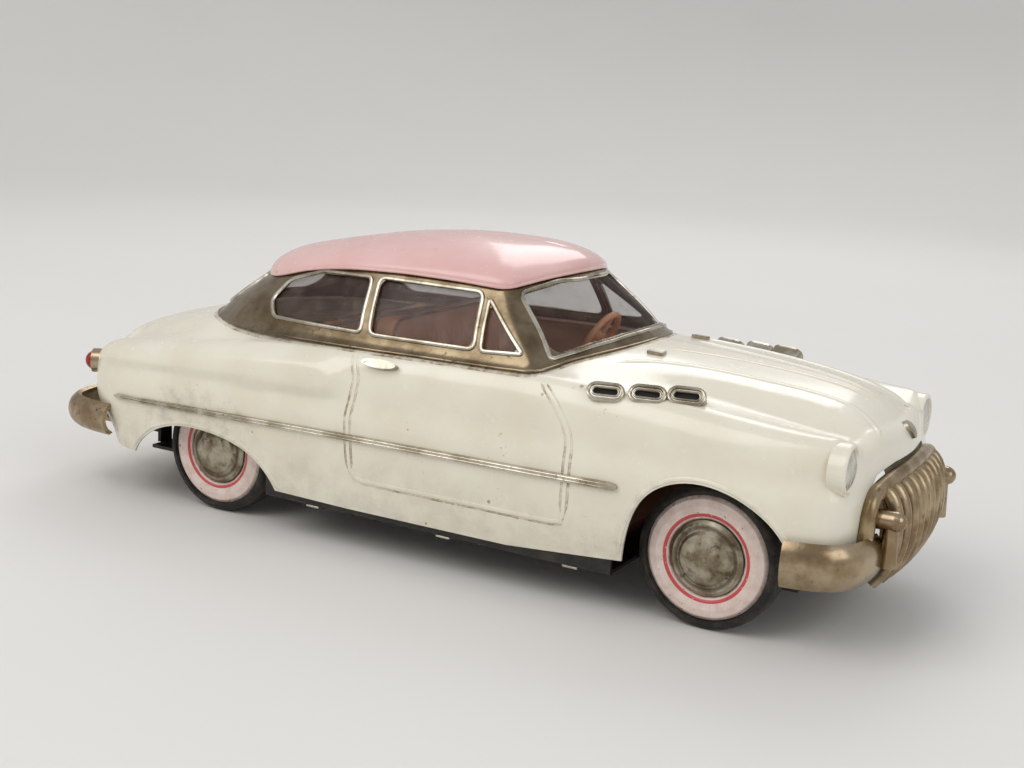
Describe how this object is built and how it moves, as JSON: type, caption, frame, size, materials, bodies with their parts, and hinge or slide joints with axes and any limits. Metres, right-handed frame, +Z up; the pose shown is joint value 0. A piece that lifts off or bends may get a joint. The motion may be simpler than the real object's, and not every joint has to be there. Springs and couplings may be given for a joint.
{
  "type": "tinplate toy sedan",
  "caption": "Small pressed-tin toy of a rounded two-door sedan with a separate roof and plated window frame, rolling freely on two axles.",
  "frame": {"origin": "on the ground under the middle of the overall length, on the centre plane", "axes": "+X towards the front of the car, +Y to the car's left, +Z up"},
  "size_m": [0.2076, 0.0774, 0.069],
  "materials": {
    "cream_paint": "gloss, aged",
    "pink_paint": "gloss, aged",
    "white_paint": "gloss",
    "black_tin": "satin",
    "plated_frame": "tarnished plate",
    "plating": "tarnished plate",
    "clear_sheet": "clear, dusty",
    "amber_plastic": "gloss",
    "peach_plastic": "gloss",
    "motor_steel": "plain",
    "axle_steel": "plain",
    "rubber": "matte",
    "lamp_silver": "gloss",
    "red_plastic": "gloss"
  },
  "bodies": {
    "toy_body": {"body_shell": "cream_paint", "roof_panel": "pink_paint", "window_frame": "plated_frame", "windscreen": "clear_sheet", "rear_window": "clear_sheet", "side_windows_left": "clear_sheet", "side_windows_right": "clear_sheet", "base_plate": "black_tin", "cabin_floor": "amber_plastic", "front_seat": "amber_plastic", "rear_seat": "amber_plastic", "dashboard": "amber_plastic", "steering_wheel": "peach_plastic", "steering_column": "peach_plastic", "motor_block": "motor_steel", "front_bumper": "plating", "grille": "plating", "bumper_guards": "plating", "rear_bumper": "plating", "side_trims": "plating", "door_handles": "plating", "vent_ports": "plating", "hood_badge": "plating", "cowl_clips": "plating", "headlamp_rims": "cream_paint", "headlamp_lenses": "lamp_silver", "tail_lamp_rims": "plating", "tail_lamp_lenses": "red_plastic", "number_plate": "white_paint"},
    "front_wheels": {"front_axle": "axle_steel", "front_tyre_left": "rubber", "front_tyre_right": "rubber", "front_wheel_discs": "white_paint", "front_hub_caps": "plating"},
    "rear_wheels": {"rear_axle": "axle_steel", "rear_tyre_left": "rubber", "rear_tyre_right": "rubber", "rear_wheel_discs": "white_paint", "rear_hub_caps": "plating"}
  },
  "joints": [
    {"name": "front_axle_turn", "type": "hinge", "parent": "toy_body", "child": "front_wheels", "pos_m": [0.06874, 0, 0.0146], "axis": [0, 1, 0], "continuous": true},
    {"name": "rear_axle_turn", "type": "hinge", "parent": "toy_body", "child": "rear_wheels", "pos_m": [-0.05326, 0, 0.0146], "axis": [0, 1, 0], "continuous": true}
  ]
}
